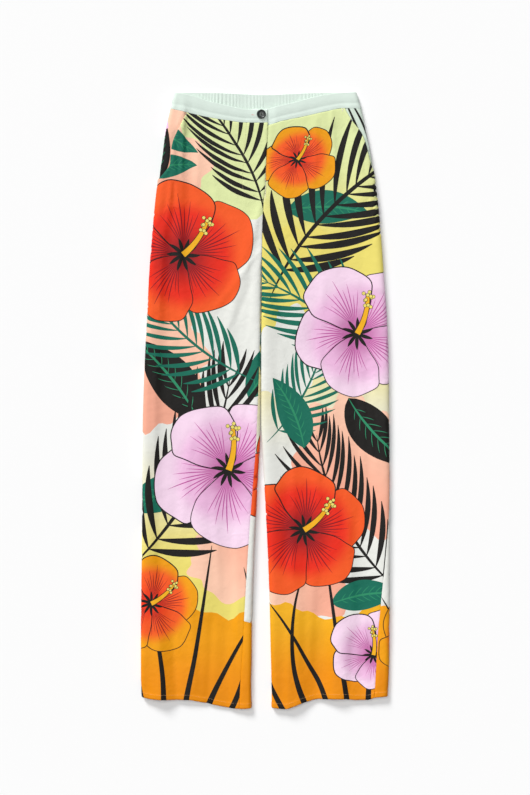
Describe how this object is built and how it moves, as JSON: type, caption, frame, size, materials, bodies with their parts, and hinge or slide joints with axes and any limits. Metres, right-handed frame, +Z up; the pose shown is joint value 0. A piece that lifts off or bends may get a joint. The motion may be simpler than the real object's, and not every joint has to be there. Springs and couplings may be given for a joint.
{
  "type": "straight-leg trousers laid flat",
  "caption": "Women's straight-leg trousers in a light woven cloth, laid flat front up, with an elastic back waistband, slanted pockets and a button fly.",
  "frame": {"origin": "middle of the bounding box, on the surface that the trousers lie on", "axes": "+Y from the hems to the waist, +X to the wearer's left, which is the viewer's right, +Z up from the surface, out of the front of the trousers"},
  "size_m": [0.4485, 1.111, 0.013],
  "materials": {
    "print_cloth": "soft satin-faced viscose weave with a large floral print",
    "pocket_cloth": "the same cloth",
    "waistband_cloth": "plain pale mint, the same weave",
    "zip_tape": "plain tape, hidden",
    "button": "dark, half gloss",
    "thread": "sewing thread"
  },
  "bodies": {
    "root": {"front_right": "print_cloth", "front_left": "print_cloth", "back_right": "print_cloth", "back_left": "print_cloth", "pocket_right": "pocket_cloth", "pocket_left": "pocket_cloth", "waistband_front_right": "waistband_cloth", "waistband_front_left": "waistband_cloth", "waistband_back": "waistband_cloth", "zip": "zip_tape", "button": "button"}
  },
  "joints": []
}
